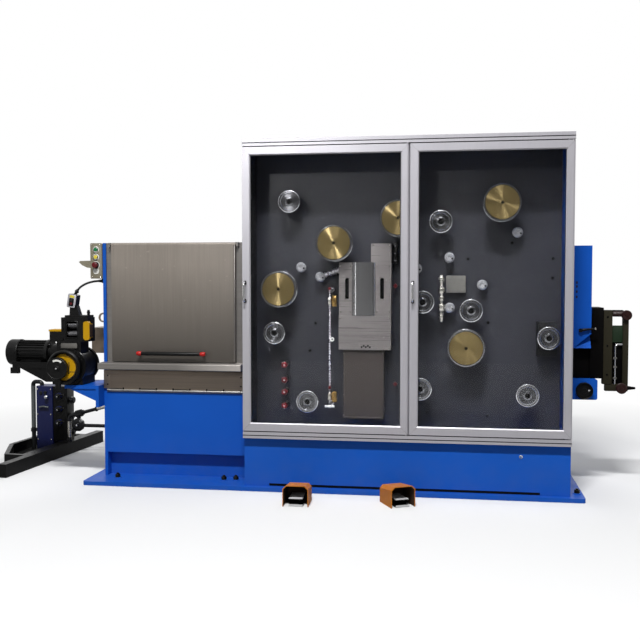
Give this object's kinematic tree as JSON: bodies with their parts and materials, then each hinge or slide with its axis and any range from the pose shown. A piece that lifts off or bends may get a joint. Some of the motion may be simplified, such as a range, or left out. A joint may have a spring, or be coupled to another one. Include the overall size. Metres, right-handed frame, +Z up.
{
  "type": "wire drawing machine",
  "caption": "Wire drawing machine: stepped-cone tank with lifting lid and drop flap, glazed annealer cabinet of contact wheels, pointing unit at the inlet and foot switches.",
  "frame": {"origin": "middle of the underside of the base plate, on the floor", "axes": "+X along the front from the wire inlet to the wire outlet, +Y from the front with the doors to the back, +Z up"},
  "size_m": [4.3666, 1.7572, 2.158],
  "materials": {
    "blue_paint": "satin",
    "stainless": "brushed",
    "aluminium_frame": "satin",
    "tinted_glass": "gloss",
    "board_grey": "satin",
    "brass_wheel": "turned",
    "chrome_rim": "polished",
    "bright_fitting": "polished",
    "bearing_steel": "satin",
    "red_plastic": "gloss",
    "tan_paint": "matte",
    "tube_steel": "braided",
    "grey_box": "satin",
    "button_plastic": "gloss",
    "black_paint": "satin",
    "yellow_paint": "satin",
    "roll_steel": "ground",
    "cable_black": "matte",
    "navy_paint": "satin",
    "pipe_grey": "satin",
    "frame_dark": "matte",
    "black_plastic": "satin",
    "orange_cast": "satin",
    "tread_grey": "matte",
    "cone_steel": "ground"
  },
  "bodies": {
    "machine": {"base_plate": "blue_paint", "drawing_base": "blue_paint", "drawing_end_plate": "blue_paint", "gearbox_housing": "blue_paint", "tank": "stainless", "front_rail": "stainless", "drawing_cones": "cone_steel", "plinth": "blue_paint", "cabinet_shell": "blue_paint", "mounting_board": "board_grey", "door_surround": "aluminium_frame", "wheel_bearings": "bearing_steel", "board_fittings": "bright_fitting", "valve_knobs": "red_plastic", "preheat_box": "stainless", "anneal_box": "tan_paint", "cooling_line": "tube_steel", "control_box": "grey_box", "control_buttons": "button_plastic", "pointer_bracket": "blue_paint", "pointer_body": "black_paint", "pointer_motor": "black_paint", "pointer_guards": "yellow_paint", "pinch_rolls": "roll_steel", "switch_box": "grey_box", "switch_cable": "cable_black", "wire_inlet_box": "stainless", "coolant_skid": "black_paint", "coolant_box": "navy_paint", "coolant_pipes": "pipe_grey", "exit_box": "blue_paint", "exit_bracket": "blue_paint", "exit_frame": "frame_dark", "pedal_guards": "orange_cast"},
    "left_door": {"left_door_frame": "aluminium_frame", "left_door_glass": "tinted_glass", "left_door_handle": "bright_fitting"},
    "right_door": {"right_door_frame": "aluminium_frame", "right_door_glass": "tinted_glass", "right_door_handle": "bright_fitting"},
    "lid": {"lid": "stainless", "lid_handle": "black_plastic"},
    "flap": {"flap": "stainless"},
    "exit_handwheel": {"exit_handwheel": "black_plastic"},
    "left_pedal": {"left_pedal": "tread_grey"},
    "right_pedal": {"right_pedal": "tread_grey"},
    "contact_wheel_1": {"contact_wheel_1": "brass_wheel"},
    "contact_wheel_2": {"contact_wheel_2": "brass_wheel"},
    "contact_wheel_3": {"contact_wheel_3": "brass_wheel"},
    "contact_wheel_4": {"contact_wheel_4": "brass_wheel"},
    "contact_wheel_5": {"contact_wheel_5": "brass_wheel"},
    "guide_pulley_1": {"guide_pulley_1": "chrome_rim"},
    "guide_pulley_2": {"guide_pulley_2": "chrome_rim"},
    "guide_pulley_3": {"guide_pulley_3": "chrome_rim"},
    "guide_pulley_4": {"guide_pulley_4": "chrome_rim"},
    "guide_pulley_5": {"guide_pulley_5": "chrome_rim"},
    "guide_pulley_6": {"guide_pulley_6": "chrome_rim"},
    "guide_pulley_7": {"guide_pulley_7": "chrome_rim"},
    "guide_pulley_8": {"guide_pulley_8": "chrome_rim"},
    "guide_pulley_9": {"guide_pulley_9": "chrome_rim"}
  },
  "joints": [
    {"name": "left_door_hinge", "type": "hinge", "parent": "machine", "child": "left_door", "pos_m": [0.5005, -0.5875, 1.243], "axis": [0, 0, 1], "range_deg": [0, 90]},
    {"name": "right_door_hinge", "type": "hinge", "parent": "machine", "child": "right_door", "pos_m": [1.4535, -0.5875, 1.243], "axis": [0, 0, 1], "range_deg": [0, 110]},
    {"name": "lid_hinge", "type": "hinge", "parent": "machine", "child": "lid", "pos_m": [-1.011, -0.416, 1.531], "axis": [-1, 0, 0], "range_deg": [0, 80]},
    {"name": "flap_hinge", "type": "hinge", "parent": "machine", "child": "flap", "pos_m": [-0.978, -0.417, 0.588], "axis": [1, 0, 0], "range_deg": [0, 95]},
    {"name": "contact_wheel_1_spin", "type": "hinge", "parent": "machine", "child": "contact_wheel_1", "pos_m": [-0.302, -0.455, 1.246], "axis": [0, 1, 0], "continuous": true},
    {"name": "contact_wheel_2_spin", "type": "hinge", "parent": "machine", "child": "contact_wheel_2", "pos_m": [0.045, -0.455, 1.531], "axis": [0, 1, 0], "continuous": true},
    {"name": "contact_wheel_3_spin", "type": "hinge", "parent": "machine", "child": "contact_wheel_3", "pos_m": [0.442, -0.455, 1.681], "axis": [0, 1, 0], "continuous": true},
    {"name": "contact_wheel_4_spin", "type": "hinge", "parent": "machine", "child": "contact_wheel_4", "pos_m": [1.062, -0.455, 1.768], "axis": [0, 1, 0], "continuous": true},
    {"name": "contact_wheel_5_spin", "type": "hinge", "parent": "machine", "child": "contact_wheel_5", "pos_m": [0.854, -0.455, 0.89], "axis": [0, 1, 0], "continuous": true},
    {"name": "guide_pulley_1_spin", "type": "hinge", "parent": "machine", "child": "guide_pulley_1", "pos_m": [-0.24, -0.432, 1.792], "axis": [0, 1, 0], "continuous": true},
    {"name": "guide_pulley_2_spin", "type": "hinge", "parent": "machine", "child": "guide_pulley_2", "pos_m": [-0.336, -0.432, 0.971], "axis": [0, 1, 0], "continuous": true},
    {"name": "guide_pulley_3_spin", "type": "hinge", "parent": "machine", "child": "guide_pulley_3", "pos_m": [-0.125, -0.432, 0.541], "axis": [0, 1, 0], "continuous": true},
    {"name": "guide_pulley_4_spin", "type": "hinge", "parent": "machine", "child": "guide_pulley_4", "pos_m": [0.698, -0.432, 1.659], "axis": [0, 1, 0], "continuous": true},
    {"name": "guide_pulley_5_spin", "type": "hinge", "parent": "machine", "child": "guide_pulley_5", "pos_m": [0.591, -0.432, 1.168], "axis": [0, 1, 0], "continuous": true},
    {"name": "guide_pulley_6_spin", "type": "hinge", "parent": "machine", "child": "guide_pulley_6", "pos_m": [0.883, -0.432, 1.117], "axis": [0, 1, 0], "continuous": true},
    {"name": "guide_pulley_7_spin", "type": "hinge", "parent": "machine", "child": "guide_pulley_7", "pos_m": [0.579, -0.432, 0.633], "axis": [0, 1, 0], "continuous": true},
    {"name": "guide_pulley_8_spin", "type": "hinge", "parent": "machine", "child": "guide_pulley_8", "pos_m": [1.346, -0.432, 0.954], "axis": [0, 1, 0], "continuous": true},
    {"name": "guide_pulley_9_spin", "type": "hinge", "parent": "machine", "child": "guide_pulley_9", "pos_m": [1.224, -0.432, 0.605], "axis": [0, 1, 0], "continuous": true},
    {"name": "handwheel_turn", "type": "hinge", "parent": "machine", "child": "exit_handwheel", "pos_m": [1.579, -0.275, 0.621], "axis": [0, 1, 0], "continuous": true},
    {"name": "left_pedal_press", "type": "hinge", "parent": "machine", "child": "left_pedal", "pos_m": [-0.12209, -0.77909, 0.034], "axis": [0.9994, 0.0349, 0], "range_deg": [0, 10], "stiffness_Nm_per_rad": 4, "springref_deg": -14.32},
    {"name": "right_pedal_press", "type": "hinge", "parent": "machine", "child": "right_pedal", "pos_m": [0.43272, -0.71891, 0.034], "axis": [0.891, 0.454, 0], "range_deg": [0, 10], "stiffness_Nm_per_rad": 4, "springref_deg": -14.32}
  ]
}
